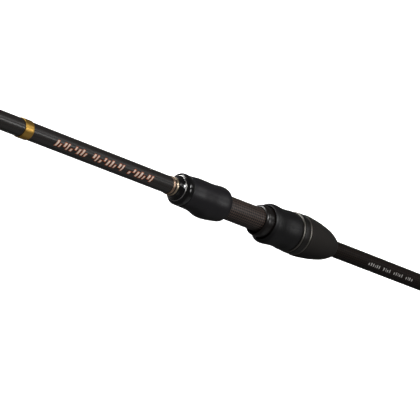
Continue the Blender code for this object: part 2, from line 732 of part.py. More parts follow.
def add_tip_top():
    bore = BLANK_TIP_RADIUS + GLUE_GAP
    end = TIP_TUBE_X + TIP_TUBE_LENGTH
    outline = (
        (end, 0),
        (end, TIP_TUBE_RADIUS),
        (TIP_TUBE_X, TIP_TUBE_RADIUS),
        (TIP_TUBE_X, bore),
        (end - TIP_TUBE_END, bore),
        (end - TIP_TUBE_END, 0),
    )
    add_turned("tip_top_tube", outline, "guide_frame_steel", tip_section, SMALL_RING_SIDES)
    centre_z = -TIP_RING_HEIGHT - TIP_TUBE_RADIUS
    add_line_ring("tip_top_ring", TIP_RING_X, centre_z, TIP_RING_RADIUS, TIP_RING_WIRE, tip_section)
    heel = HOOP_THICKNESS + 1.0 * MM
    toe = heel + TIP_FOOT_LENGTH
    foot_top = -(TIP_TUBE_RADIUS + FOOT_GAP)
    add_frame("tip_top_frame", TIP_RING_X, centre_z, TIP_RING_RADIUS, (-1,), heel, toe, foot_top, tip_section)
    winding_x = TIP_TUBE_X - FIT_GAP - TIP_WINDING_LENGTH
    surface = blank_radius(winding_x) + GLUE_GAP
    add_ring(
        "tip_top_winding",
        winding_x,
        TIP_WINDING_LENGTH,
        surface,
        surface + WINDING_THICKNESS,
        "thread_winding",
        tip_section,
    )


butt_section = add_section("butt_section", 0)
hood_section = add_section("hood_section", SLEEVE_X)
nut_section = add_section("nut_section", BARREL_X)
tip_section = add_section("tip_section", FERRULE_X)
bpy.context.view_layer.update()

add_butt_grip()
add_butt_blank()
add_seat_rear()
add_seat_body()
add_seat_pipe()
add_moving_hood()
add_lock_nut()
add_tip_blank()
add_guides()
add_tip_top()
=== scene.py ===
import json
import math

import bmesh
import bpy
from mathutils import Matrix, Vector


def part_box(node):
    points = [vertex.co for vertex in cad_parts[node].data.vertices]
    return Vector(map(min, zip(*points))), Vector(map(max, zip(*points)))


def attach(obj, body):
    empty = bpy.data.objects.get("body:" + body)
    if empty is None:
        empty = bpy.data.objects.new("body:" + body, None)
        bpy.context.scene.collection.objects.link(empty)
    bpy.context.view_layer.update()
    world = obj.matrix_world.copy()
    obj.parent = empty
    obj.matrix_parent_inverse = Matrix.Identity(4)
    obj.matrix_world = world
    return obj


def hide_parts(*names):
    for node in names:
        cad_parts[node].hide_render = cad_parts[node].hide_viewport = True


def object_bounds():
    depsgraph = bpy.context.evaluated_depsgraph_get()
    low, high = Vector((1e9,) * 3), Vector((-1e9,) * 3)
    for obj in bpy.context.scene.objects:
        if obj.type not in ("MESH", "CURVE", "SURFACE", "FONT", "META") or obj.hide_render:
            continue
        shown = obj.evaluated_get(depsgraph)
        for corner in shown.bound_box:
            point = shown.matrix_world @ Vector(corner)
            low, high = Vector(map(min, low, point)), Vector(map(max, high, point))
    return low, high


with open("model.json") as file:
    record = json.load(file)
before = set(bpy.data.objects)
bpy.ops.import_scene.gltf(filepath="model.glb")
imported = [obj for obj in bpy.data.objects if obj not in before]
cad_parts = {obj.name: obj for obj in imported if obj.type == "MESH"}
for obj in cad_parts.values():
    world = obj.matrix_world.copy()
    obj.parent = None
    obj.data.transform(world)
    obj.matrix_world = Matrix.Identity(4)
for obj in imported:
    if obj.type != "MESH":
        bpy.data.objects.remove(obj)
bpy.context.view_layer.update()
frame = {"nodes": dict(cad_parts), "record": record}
mm = 0.001
flat = math.cos(math.pi / 24)  # the frame's round pieces have 24 sides, whose flats lie this far in
weaveGrid = 1.6  # mm between crossings of the carbon tows
samePoint = 1e-6  # metres within which two points are one
rod = {"length": 2280.0, "buttRadius": 5.85, "tipRadius": 0.70}


def hexColour(text):
    # sRGB hex to linear, with alpha 1
    parts = [int(text[i : i + 2], 16) / 255 for i in (1, 3, 5)]
    return tuple(p / 12.92 if p <= 0.04045 else ((p + 0.055) / 1.055) ** 2.4 for p in parts) + (1,)


def addNode(tree, kind, links=None, **settings):
    node = tree.nodes.new(kind)
    for name, value in settings.items():
        setattr(node, name, value)
    for socket, source in (links or {}).items():
        if isinstance(source, bpy.types.NodeSocket):
            tree.links.new(source, node.inputs[socket])
        else:
            node.inputs[socket].default_value = source
    return node


def startMaterial(name, colour, roughness, metallic=0.0, coat=0.0, coatRoughness=0.05):
    material = bpy.data.materials.new(name)
    material.use_nodes = True
    material.diffuse_color = hexColour(colour)
    tree = material.node_tree
    shader = tree.nodes["Principled BSDF"]
    shader.inputs["Base Color"].default_value = hexColour(colour)
    shader.inputs["Roughness"].default_value = roughness
    shader.inputs["Metallic"].default_value = metallic
    shader.inputs["Coat Weight"].default_value = coat
    shader.inputs["Coat Roughness"].default_value = coatRoughness
    return material, tree, shader


def blankRadius(x):
    # in mm, of the blank's outside at x mm from the butt
    return (rod["buttRadius"] + (rod["tipRadius"] - rod["buttRadius"]) * x / rod["length"]) * flat


def smoothRun(points, perSpan=5):
    # a Catmull-Rom curve through points of any size
    ends = [points[0], *points, points[-1]]
    run = []
    for a, b, c, d in zip(ends, ends[1:], ends[2:], ends[3:]):
        for step in range(perSpan):
            t = step / perSpan
            weights = (
                (-t + 2 * t**2 - t**3) / 2,
                (2 - 5 * t**2 + 3 * t**3) / 2,
                (t + 4 * t**2 - 3 * t**3) / 2,
                (t**3 - t**2) / 2,
            )
            near = (a, b, c, d)
            run.append(tuple(sum(w * p[i] for w, p in zip(weights, near)) for i in range(len(b))))
    return [*run, tuple(points[-1])]


def spinOutline(bm, outline, steps=96, axisZ=0.0):
    # outline in mm: (x, radius) or (x, radius on top, radius underneath), turned about the rod's axis
    swell = bm.verts.layers.float.get("swell") or bm.verts.layers.float.new("swell")
    verts = []
    for x, top, *under in outline:
        vert = bm.verts.new((x * mm, 0, axisZ * mm - top * mm))
        vert[swell] = (under[0] - top) * mm if under else 0.0
        verts.append(vert)
    edges = [bm.edges.new(pair) for pair in zip(verts, verts[1:])]
    if outline[0][1] > 0:
        edges.append(bm.edges.new((verts[-1], verts[0])))
    bmesh.ops.spin(
        bm,
        geom=verts + edges,
        cent=(0, 0, axisZ * mm),
        axis=(1, 0, 0),
        angle=math.tau,
        steps=steps,
        use_merge=True,
    )
    bmesh.ops.remove_doubles(bm, verts=bm.verts, dist=samePoint)
    for vert in bm.verts:
        if not vert[swell]:
            continue
        radius = math.hypot(vert.co.y, vert.co.z)
        down = max(0.0, -vert.co.z / radius)
        grown = (radius + vert[swell] * down**2) / radius
        vert.co.y *= grown
        vert.co.z *= grown


def bevelCorners(bm, width, fromAngle=28):
    bmesh.ops.recalc_face_normals(bm, faces=bm.faces)
    corners = [e for e in bm.edges if e.is_manifold and e.calc_face_angle() > math.radians(fromAngle)]
    if corners and width:
        bmesh.ops.bevel(
            bm,
            geom=corners,
            offset=width * mm,
            offset_type="OFFSET",
            segments=2,
            profile=0.5,
            affect="EDGES",
            material=-1,
            clamp_overlap=True,
        )


def wrapSkin(bm, axisZ=0.0):
    # UVs in mm: along the rod, and round it in a whole number of weave grids
    skin = bm.loops.layers.uv.new("skin")
    widest = max(math.hypot(v.co.y, v.co.z - axisZ * mm) for v in bm.verts) / mm
    around = max(1, round(math.tau * widest / weaveGrid)) * weaveGrid / math.tau
    for face in bm.faces:
        centre = face.calc_center_median()
        middle = math.atan2(centre.y, axisZ * mm - centre.z)
        for loop in face.loops:
            co = loop.vert.co
            turn = math.atan2(co.y, axisZ * mm - co.z)
            turn = middle + (turn - middle + math.pi) % math.tau - math.pi
            loop[skin].uv = (co.x / mm, turn * around)


def finishPiece(name, bm, material, body, nodes, axisZ=0.0):
    bmesh.ops.recalc_face_normals(bm, faces=bm.faces)
    wrapSkin(bm, axisZ)
    mesh = bpy.data.meshes.new(name)
    bm.to_mesh(mesh)
    bm.free()
    mesh.materials.append(material)
    mesh.shade_smooth()
    mesh.set_sharp_from_angle(angle=math.radians(50))
    piece = bpy.data.objects.new(name, mesh)
    bpy.context.scene.collection.objects.link(piece)
    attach(piece, body)
    if nodes:
        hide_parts(*nodes)


def turnPiece(name, outline, material, body, node, corner=0.12, steps=96, axisZ=0.0):
    bm = bmesh.new()
    spinOutline(bm, outline, steps, axisZ)
    bevelCorners(bm, corner)
    finishPiece(name, bm, material, body, (node,), axisZ)


# the cloth: how its colour flecks wander, its relief, and the finish of its matte stretch
weave = {"fleckScale": 0.9, "relief": 0.05, "matteCoat": 0.08, "specular": 0.5, "matteSpecular": 0.16}


# carbon tows under clear lacquer, which turns matte between the two places of matteAhead, in mm
def makeWeave(name, dark, light, roughness, coat, coatRoughness, contrast, bump, matteAhead=None):
    material, tree, shader = startMaterial(name, dark, roughness, 0.0, coat, coatRoughness)
    uv = addNode(tree, "ShaderNodeUVMap", uv_map="skin")
    # tows cross at 45 degrees, so a cell's side is the grid over the root of two
    turned = addNode(
        tree,
        "ShaderNodeMapping",
        {"Vector": uv.outputs["UV"], "Rotation": (0, 0, math.pi / 4), "Scale": (1 / weaveGrid,) * 3},
    )
    cells = addNode(
        tree, "ShaderNodeTexChecker", {"Vector": turned.outputs["Vector"], "Scale": math.sqrt(2)}
    )
    ribs = addNode(
        tree,
        "ShaderNodeTexWave",
        {"Vector": turned.outputs["Vector"], "Scale": math.sqrt(2) / 2},
        wave_type="BANDS",
        bands_direction="X",
    )
    flecks = addNode(
        tree,
        "ShaderNodeTexNoise",
        {"Vector": uv.outputs["UV"], "Scale": weave["fleckScale"], "Detail": 3.0},
    )
    cloth = joinValues(tree, "MULTIPLY", cells.outputs["Fac"], flecks.outputs["Fac"])
    amount = joinValues(tree, "MULTIPLY", cloth, contrast)
    mixColours(tree, shader, amount, dark, light)
    if matteAhead:
        place = addNode(tree, "ShaderNodeTexCoord")
        along = addNode(tree, "ShaderNodeSeparateXYZ", {"Vector": place.outputs["Object"]})
        ends = [x * mm for x in matteAhead]
        spreadOver(tree, shader, "Coat Weight", along.outputs["X"], (coat, weave["matteCoat"]), ends)
        specular = (weave["specular"], weave["matteSpecular"])
        spreadOver(tree, shader, "Specular IOR Level", along.outputs["X"], specular, ends)
    height = joinValues(tree, "ADD", ribs.outputs["Fac"], cells.outputs["Fac"])
    addRelief(tree, shader, height, bump, weave["relief"])
    return material


def joinValues(tree, operation, first, second):
    return addNode(tree, "ShaderNodeMath", {0: first, 1: second}, operation=operation).outputs[0]


def mixColours(tree, shader, amount, dark, light):
    colour = addNode(
        tree,
        "ShaderNodeMix",
        {"Factor": amount, 6: hexColour(dark), 7: hexColour(light)},
        data_type="RGBA",
    )
    tree.links.new(colour.outputs[2], shader.inputs["Base Color"])


# a value from one end of its range to the other, as the driving value runs between its own ends
def spreadOver(tree, shader, socket, value, results, ends=(0.0, 1.0)):
    spread = addNode(
        tree,
        "ShaderNodeMapRange",
        {
            "Value": value,
            "From Min": ends[0],
            "From Max": ends[1],
            "To Min": results[0],
            "To Max": results[1],
        },
    )
    tree.links.new(spread.outputs["Result"], shader.inputs[socket])


# relief of the given depth in mm, laid over any relief that is already there
def addRelief(tree, shader, height, strength, depth):
    under = shader.inputs["Normal"].links
    values = {"Height": height, "Strength": strength, "Distance": depth * mm}
    if under:
        values["Normal"] = under[0].from_socket
    relief = addNode(tree, "ShaderNodeBump", values)
    tree.links.new(relief.outputs["Normal"], shader.inputs["Normal"])


# grain of moulded surfaces: broad changes of tone, the relief's depth, and how far the gloss wanders
moulded = {"broadScale": 90.0, "relief": 0.06, "gloss": 0.12}
waveScale = 0.314  # a wave texture of this scale repeats once a unit


# paint, plastic, foam and rubber: a base colour that wanders a little, a grain of the given size in mm,
# and perhaps ribs on top: (direction in the skin, pitch in mm, strength, depth in mm)
def makeMoulded(name, colour, other, roughness, grain, bump, coat=0.0, coatRoughness=0.05, ribs=None):
    material, tree, shader = startMaterial(name, colour, roughness, 0.0, coat, coatRoughness)
    place = addNode(tree, "ShaderNodeTexCoord")
    fine = addNode(
        tree,
        "ShaderNodeTexNoise",
        {"Vector": place.outputs["Object"], "Scale": 1 / (grain * mm), "Detail": 4.0, "Roughness": 0.6},
    )
    broad = addNode(
        tree,
        "ShaderNodeTexNoise",
        {"Vector": place.outputs["Object"], "Scale": moulded["broadScale"], "Detail": 2.0},
    )
    blend = joinValues(tree, "MULTIPLY", fine.outputs["Fac"], broad.outputs["Fac"])
    mixColours(tree, shader, blend, colour, other)
    gloss = (roughness * (1 - moulded["gloss"]), min(1.0, roughness * (1 + moulded["gloss"])))
    spreadOver(tree, shader, "Roughness", fine.outputs["Fac"], gloss)
    addRelief(tree, shader, fine.outputs["Fac"], bump, moulded["relief"])
    if ribs:
        direction, pitch, strength, depth = ribs
        uv = addNode(tree, "ShaderNodeUVMap", uv_map="skin")
        waves = addNode(
            tree,
            "ShaderNodeTexWave",
            {"Vector": uv.outputs["UV"], "Scale": waveScale / pitch},
            wave_type="BANDS",
            bands_direction=direction,
        )
        addRelief(tree, shader, waves.outputs["Fac"], strength, depth)
    return material


# lathe marks: their pitch in mm, how little they vary round the piece, relief and spread of the gloss
lathe = {"pitch": 0.25, "around": 0.05, "strength": 0.15, "relief": 0.02, "gloss": 0.3}


# turned and polished metal: fine rings left by the lathe, running round the piece
def makeTurnedMetal(name, colour, roughness):
    material, tree, shader = startMaterial(name, colour, roughness, 1.0)
    uv = addNode(tree, "ShaderNodeUVMap", uv_map="skin")
    stretched = addNode(
        tree,
        "ShaderNodeMapping",
        {"Vector": uv.outputs["UV"], "Scale": (1 / lathe["pitch"], lathe["around"], 1)},
    )
    rings = addNode(
        tree, "ShaderNodeTexNoise", {"Vector": stretched.outputs["Vector"], "Scale": 1.0, "Detail": 2.0}
    )
    gloss = (roughness * (1 - lathe["gloss"]), roughness * (1 + lathe["gloss"]))
    spreadOver(tree, shader, "Roughness", rings.outputs["Fac"], gloss)
    addRelief(tree, shader, rings.outputs["Fac"], lathe["strength"], lathe["relief"])
    return material


# printed ink: opaque, with slightly uneven cover
def makeInk(name, colour, other):
    return makeMoulded(name, colour, other, 0.4, 0.4, 0.05)


# weaves: dark, light, roughness, coat, its roughness, contrast, bump, and where the lacquer turns matte
blankLacquer = makeWeave(
    "lacqueredCarbonBlank", "#0f0c0b", "#342922", 0.5, 0.8, 0.22, 1.1, 0.2, (300.0, 340.0)
)
# the tip section's lacquer: the butt blank's weave in darker tones, which are painted shade, under a
# thinner coat
tipShadedLacquer = makeWeave("lacqueredCarbonTipPaintedShade", "#050404", "#12100e", 0.6, 0.15, 0.35, 0.8, 0.15)
pipeWeave = makeWeave("wovenCarbonPipe", "#0b0908", "#594941", 0.46, 0.15, 0.3, 1.8, 0.6)
# metals: colour and roughness
goldAnodised = makeTurnedMetal("goldAnodisedAluminium", "#e9b85c", 0.4)
roseGold = makeTurnedMetal("roseGoldPlatedBrass", "#d3b39b", 0.32)
paleGold = makeTurnedMetal("paleGoldPlatedBrass", "#f0dcc0", 0.34)
brightChrome = makeTurnedMetal("polishedChrome", "#d8d6d2", 0.3)
greyAluminium = makeTurnedMetal("lightGreyAluminium", "#86827c", 0.42)
smokedSteel = makeTurnedMetal("smokedStainlessWire", "#4a494b", 0.24)
# moulded and painted: two tones, roughness, grain in mm, bump, then coat, its roughness and ribs
glossCheck = makeMoulded(
    "glossBlackCheck", "#070607", "#0d0b0b", 0.12, 0.8, 0.03, 0.6, 0.06, ("Y", 0.65, 0.35, 0.05)
)
satinSleeve = makeMoulded("satinBlackSleeve", "#14100f", "#1d1816", 0.3, 1.5, 0.05, 0.3, 0.28)
glossBlack = makeMoulded("glossBlackLacquer", "#070607", "#0e0c0c", 0.16, 1.5, 0.02, 0.8, 0.1)
softTouch = makeMoulded(
    "softTouchCoating", "#1c1a1d", "#262428", 0.42, 0.35, 0.12, ribs=("DIAGONAL", 1.4, 0.2, 0.04)
)
# the moving hood's coating: a darker copy of the soft-touch coating, painted shade for the light that its
# face turns away from
hoodShadedCoating = makeMoulded("hoodSoftTouchPaintedShade", "#0f0e10", "#161516", 0.47, 0.35, 0.12)
nutPlastic = makeMoulded(
    "knurledSatinNylon", "#141210", "#201c19", 0.4, 0.3, 0.1, ribs=("DIAGONAL", 0.8, 0.4, 0.08)
)
foam = makeMoulded("groundClosedCellFoam", "#1c1815", "#292420", 0.78, 0.45, 0.35)
rubber = makeMoulded("mouldedRubberCap", "#121211", "#1b1b1a", 0.7, 0.3, 0.15)
arborFoam = makeMoulded("urethaneArborFoam", "#8f8979", "#a39c8b", 0.9, 0.6, 0.3)
barrelNylon = makeMoulded("plainNylonBarrel", "#141210", "#201c19", 0.4, 0.3, 0.1)
ceramic = makeMoulded("polishedDarkCeramic", "#202023", "#2a2a2e", 0.1, 0.8, 0.01)
# the winding's thread is 0.2 mm, drawn over twice as coarse so that it shows
threadWinding = makeMoulded(
    "epoxiedBlackThread", "#0d0c0e", "#17151a", 0.35, 0.5, 0.05, 1.0, 0.04, ("X", 0.45, 0.3, 0.05)
)
copperInk = makeInk("copperFoilPrint", "#e0702f", "#c45a28")
paleInk = makeInk("warmWhitePrint", "#fff0e0", "#f6dcc6")
whiteInk = makeInk("whitePadPrint", "#c9c6c2", "#b3b0ac")
print("materials made")


def startOf(node):
    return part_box(node)[0].x / mm


def endOf(node):
    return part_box(node)[1].x / mm


def ringOutline(node, bore, radius, crown):
    # a plain ring over the node's own stretch of the rod, its face crowned by that much
    start, end = startOf(node), endOf(node)
    face = []
    for share in (0.0, 0.15, 0.35, 0.5, 0.65, 0.85, 1.0):
        face.append((start + (end - start) * share, radius + crown * (1 - (2 * share - 1) ** 2)))
    return [(start, bore), *face, (end, bore)]


# butt cap: rubber, with a rolled edge and a plug inside the blank
cap = {"faceRadius": 9.5, "radius": 12.0, "roll": 0.55, "plugRadius": 4.4, "plugLength": 10.0}


def makeButtCap():
    start, end = startOf("butt_cap"), endOf("butt_cap") - cap["plugLength"]
    roll = (end - start) * cap["roll"]
    step = cap["radius"] - cap["faceRadius"]
    edge = []
    for degrees in range(0, 91, 15):
        turn = math.radians(degrees)
        radius = cap["faceRadius"] + step * math.sin(turn)
        edge.append((start + roll * (1 - math.cos(turn)), radius * flat))
    outline = [
        (start, 0),
        *edge,
        (end, cap["radius"] * flat),
        (end, cap["plugRadius"] * flat),
        (end + cap["plugLength"], cap["plugRadius"] * flat),
        (end + cap["plugLength"], 0),
    ]
    turnPiece("buttCap", outline, rubber, "butt_section", "butt_cap", 0.25)


# foam grip: its shape is (share of the length, height above the blank)
grip = {
    "ringRadius": 11.6,
    "ringCrown": 0.2,
    "gap": 0.3,
    "shape": (
        (0.0, 5.9),
        (0.04, 6.7),
        (0.12, 7.1),
        (0.26, 7.2),
        (0.42, 6.5),
        (0.6, 5.0),
        (0.78, 3.8),
        (0.92, 3.1),
        (1.0, 2.3),
    ),
    "checkGap": 0.1,
}


def makeButtGrip():
    bore = blankRadius(startOf("butt_trim_ring")) + grip["gap"]
    crown = grip["ringCrown"]
    outline = ringOutline("butt_trim_ring", bore, (grip["ringRadius"] - crown) * flat, crown * flat)
    turnPiece("buttTrimRing", outline, goldAnodised, "butt_section", "butt_trim_ring", 0.15)
    start, length = startOf("butt_grip"), endOf("butt_grip") - startOf("butt_grip")
    surface = blankRadius(start)
    shape = [(start + share * length, surface + height * flat) for share, height in grip["shape"]]
    outside = smoothRun(shape)
    outline = [(start, surface + grip["gap"]), *outside, (start + length, surface + grip["gap"])]
    turnPiece("buttGrip", outline, foam, "butt_section", "butt_grip", 0.4)
    start, end = startOf("grip_winding_check"), endOf("grip_winding_check")
    surface = blankRadius(start)
    cover = smoothRun(
        [
            (start, surface + 1.7),
            (start + 1.2, surface + 1.85),
            (start + 3, surface + 1.1),
            (end, surface + 0.4),
        ]
    )
    inner = surface + grip["checkGap"]
    outline = [(start, inner), *cover, (end, inner)]
    turnPiece("gripWindingCheck", outline, glossBlack, "butt_section", "grip_winding_check")


blank = {"steps": 40, "buttWall": 1.09, "jointWall": 0.7}


def taperedRun(start, end, steps, extra=0.0):
    # points along the blank's outside, or that much above it
    places = [start + (end - start) * n / steps for n in range(steps + 1)]
    return [(x, blankRadius(x) + extra) for x in places]


def makeButtBlank():
    start, end = startOf("butt_blank"), endOf("butt_blank")
    outside = taperedRun(start, end, blank["steps"])
    outline = [
        (start, outside[0][1] - blank["buttWall"]),
        *outside,
        (end, outside[-1][1] - blank["jointWall"]),
    ]
    turnPiece("buttBlank", outline, blankLacquer, "butt_section", "butt_blank", 0.1, 72)


glueGap = 0.06  # mm, under the pieces that are glued on the blank
# thin rings that stand on the blank: height above it and how far their face is crowned
trimRings = {
    "gold_band": ("goldBand", 0.42, 0.06, goldAnodised, "gold_trim"),
    "gold_ring": ("goldRing", 0.24, 0.18, roseGold, "gold_trim"),
    "pale_gold_ring": ("paleGoldRing", 0.38, 0.2, paleGold, "pale_trim"),
    "seat_bright_ring": ("seatBrightRing", 2.5, 0.12, brightChrome, "bright_trim"),
}


def makeTrimRings():
    for node, (name, height, crown, finish, slot) in trimRings.items():
        surface = blankRadius(startOf(node))
        outline = ringOutline(node, surface + glueGap, surface + height * flat, crown * flat)
        turnPiece(name, outline, finish, "butt_section", node, 0.08)


# the flared check and the thick rim behind the reel seat, in mm above the blank
seat = {"checkRise": 0.75, "checkFlare": 2.4, "rimFace": 2.8, "rimHeight": 4.47, "rimWaist": 0.25}


def makeSeatRear():
    start, end = startOf("seat_winding_check"), endOf("seat_winding_check")
    surface = blankRadius(start)
    flare = smoothRun(
        [
            (start, surface + seat["checkRise"] * flat),
            (start + 1.0, surface + 1.0),
            (start + 2.2, surface + 1.45),
            (end, surface + seat["checkFlare"] * flat),
        ]
    )
    inner = surface + glueGap
    outline = [(start, inner), *flare, (end, inner)]
    node = "seat_winding_check"
    turnPiece("seatWindingCheck", outline, glossCheck, "butt_section", node, 0.1)
    start, end = startOf("seat_rim"), endOf("seat_rim")
    surface = blankRadius(start)
    length = end - start
    rimTop = surface + seat["rimHeight"] * flat
    face = smoothRun(
        [
            (start, surface + seat["rimFace"] * flat),
            (start + 0.1 * length, surface + 3.6),
            (start + 0.22 * length, rimTop - 0.16),
            (start + 0.38 * length, rimTop),
            (start + 0.7 * length, rimTop),
            (end, rimTop - seat["rimWaist"]),
        ]
    )
    inner = surface + glueGap
    outline = [(start, inner), *face, (end, inner)]
    turnPiece("seatRim", outline, glossBlack, "butt_section", "seat_rim", 0.12)


pipe = {
    "radius": 7.23,
    "bore": 6.07,
    "threadDepth": 0.5,
    "threadLength": 26.0,
    "relief": 0.8,
    "pitch": 2.0,
    "runOut": 0.5,
    "halfRidge": 0.7,
    "halfCrest": 0.15,
    "sink": 0.1,
    "turnSteps": 48,
}
# heights in mm above the pipe: (share of the length, on top, underneath)
bodyShape = (
    (0.0, 2.4, 2.55),
    (0.09, 2.45, 2.6),
    (0.19, 2.75, 2.7),
    (0.29, 3.0, 2.9),
    (0.39, 2.95, 3.55),
    (0.49, 2.9, 4.4),
    (0.59, 2.8, 4.7),
    (0.69, 2.9, 4.5),
    (0.79, 3.2, 4.1),
    (0.885, 3.35, 3.55),
    (0.96, 3.0, 3.15),
    (1.0, 2.3, 2.8),
)
pocket = {"depth": 16.0, "slope": 2.0, "endHeight": 1.4, "mouthHeight": 2.3, "gap": 0.3, "rearGap": 0.1}


def makeSeatBody():
    start, end = startOf("reel_seat_body"), endOf("reel_seat_body")
    outside = smoothRun(
        [
            (start + share * (end - start), (pipe["radius"] + top) * flat, (pipe["radius"] + under) * flat)
            for share, top, under in bodyShape
        ]
    )
    bore = (pipe["radius"] + pocket["gap"]) * flat
    rearBore = blankRadius(start) + pocket["rearGap"]
    deep = end - pocket["depth"]
    shoulder = startOf("reel_seat_pipe") - pocket["gap"]
    inside = [
        (end, bore, (pipe["radius"] + pocket["mouthHeight"]) * flat),
        (deep + pocket["slope"], bore, (pipe["radius"] + pocket["endHeight"]) * flat),
        (deep, bore, bore),
        (shoulder, bore, bore),
        (shoulder, rearBore, rearBore),
        (start, rearBore, rearBore),
    ]
    turnPiece("seatBody", outside + inside, softTouch, "butt_section", "reel_seat_body", 0.2)


def makeSeatPipe():
    start, end = startOf("reel_seat_pipe"), endOf("reel_seat_pipe")
    radius, bore = pipe["radius"] * flat, pipe["bore"] * flat
    root = (pipe["radius"] - pipe["threadDepth"]) * flat
    threadEnd = end - pipe["relief"]
    threadStart = threadEnd - pipe["threadLength"]
    bm = bmesh.new()
    outline = [
        (start, bore),
        (start, radius),
        (threadStart - pipe["runOut"], radius),
        (threadStart, root),
        (end, root),
        (end, bore),
    ]
    spinOutline(bm, outline)
    bevelCorners(bm, 0.15)
    # the thread is a V swept along a helix, sunk a little into the root so that it has no gap
    turns = int((pipe["threadLength"] - pipe["pitch"]) / pipe["pitch"])
    first = threadStart + pipe["pitch"] / 2
    foot = root - pipe["sink"]
    profile = [
        (first - pipe["halfRidge"], foot),
        (first - pipe["halfCrest"], radius),
        (first + pipe["halfCrest"], radius),
        (first + pipe["halfRidge"], foot),
    ]
    verts = [bm.verts.new((x * mm, 0, -r * mm)) for x, r in profile]
    ridge = bm.faces.new(verts)
    bmesh.ops.spin(
        bm,
        geom=[ridge, *ridge.edges, *ridge.verts],
        cent=(0, 0, 0),
        axis=(1, 0, 0),
        dvec=(pipe["pitch"] * mm / pipe["turnSteps"], 0, 0),
        angle=math.tau * turns,
        steps=pipe["turnSteps"] * turns,
    )
    finishPiece("seatPipe", bm, pipeWeave, "butt_section", ("reel_seat_pipe",))


# the sleeve in the moving hood's mouth, with a rounded nose and a pocket for the reel's foot
sleeve = {
    "height": 2.25,
    "underHeight": 2.75,
    "nose": 2.4,
    "pocketDepth": 18.0,
    "pocketHeight": 2.0,
    "gap": 0.25,
    "lip": 0.2,
}
hoodShape = (
    (0.0, 3.3, 3.85),
    (0.03, 3.95, 4.6),
    (0.1, 4.6, 5.3),
    (0.24, 4.6, 5.2),
    (0.38, 4.25, 4.8),
    (0.52, 4.15, 4.5),
    (0.66, 4.35, 4.55),
    (0.8, 4.65, 4.9),
    (0.95, 4.6, 5.0),
    (1.0, 4.3, 4.7),
)
hood = {"mouthDepth": 2.5, "mouthGap": 0.75, "cupGap": 0.3}


def makeMovingHood():
    start, end = startOf("hood_sleeve"), endOf("hood_sleeve")
    radius = pipe["radius"]
    bore = (radius + sleeve["gap"]) * flat
    top, under = (radius + sleeve["height"]) * flat, (radius + sleeve["underHeight"]) * flat
    floor = (radius + sleeve["pocketHeight"]) * flat
    nose = []
    for degrees in range(0, 91, 9):
        turn = math.radians(degrees)
        drop = 1 - math.sin(turn)
        nose.append(
            (
                start + sleeve["nose"] * (1 - math.cos(turn)),
                top - (top - bore - sleeve["lip"]) * drop,
                under - (under - floor - sleeve["lip"]) * drop,
            )
        )
    deep = start + sleeve["pocketDepth"]
    outline = [
        *nose,
        (end, top, under),
        (end, bore, bore),
        (deep, bore, bore),
        (deep - pocket["slope"], bore, floor),
        (start, bore, floor),
    ]
    turnPiece("hoodSleeve", outline, satinSleeve, "moving_hood", "hood_sleeve", 0.1)
    hoodStart, hoodEnd = startOf("moving_hood"), endOf("moving_hood")
    outside = smoothRun(
        [
            (hoodStart + share * (hoodEnd - hoodStart), (radius + onTop) * flat, (radius + below) * flat)
            for share, onTop, below in hoodShape
        ]
    )
    cupEnd = end + hood["cupGap"]
    inside = [
        (hoodEnd, bore, bore),
        (cupEnd, bore, bore),
        (cupEnd, top + hood["cupGap"], under + hood["cupGap"]),
        (hoodStart + hood["mouthDepth"], top + hood["cupGap"], under + hood["cupGap"]),
        (hoodStart, top + hood["mouthGap"], under + hood["mouthGap"]),
    ]
    turnPiece("movingHood", outside + inside, hoodShadedCoating, "moving_hood", "moving_hood", 0.18)


# lock nut: radii in mm, the crown of its rings, and the gaps inside its cone
nut = {
    "seat": 9.68,
    "rearRing": 12.48,
    "collar": 12.58,
    "crown": 0.1,
    "coneGap": 0.25,
    "innerGap": 0.3,
}
# heights in mm above the pipe, by the share of the length
coneShape = (
    (0.0, 5.3),
    (0.03, 5.55),
    (0.13, 5.4),
    (0.24, 5.05),
    (0.34, 4.67),
    (0.45, 4.2),
    (0.55, 3.6),
    (0.66, 2.9),
    (0.765, 2.04),
    (0.87, 0.75),
    (0.945, -0.35),
    (1.0, -1.3),
)


def makeLockNut():
    bore = nut["seat"] * flat
    rings = (
        ("nutRingRear", "nut_ring_rear", nut["rearRing"], greyAluminium, "grey_trim"),
        ("nutCollar", "nut_collar", nut["collar"], nutPlastic, "nut_plastic"),
        ("nutRingFront", "nut_ring_front", nut["collar"], greyAluminium, "grey_trim"),
    )
    for name, node, radius, material, slot in rings:
        outline = ringOutline(node, bore, (radius - nut["crown"]) * flat, nut["crown"] * flat)
        turnPiece(name, outline, material, "lock_nut", node)
    start, end = startOf("foregrip_cone"), endOf("foregrip_cone")
    length = end - start
    outside = smoothRun(
        [(start + share * length, (pipe["radius"] + height) * flat) for share, height in coneShape]
    )
    barrelEnd = endOf("lock_nut_barrel") + nut["innerGap"]
    pipeEnd = endOf("reel_seat_pipe") + nut["innerGap"]
    frontBore = blankRadius(pipeEnd) + nut["innerGap"]
    step = (pipe["radius"] + nut["coneGap"]) * flat
    inside = [
        (end, frontBore),
        (pipeEnd, frontBore),
        (pipeEnd, step),
        (barrelEnd, step),
        (barrelEnd, bore),
        (start, bore),
    ]
    turnPiece("foregripCone", outside + inside, foam, "lock_nut", "foregrip_cone", 0.2)


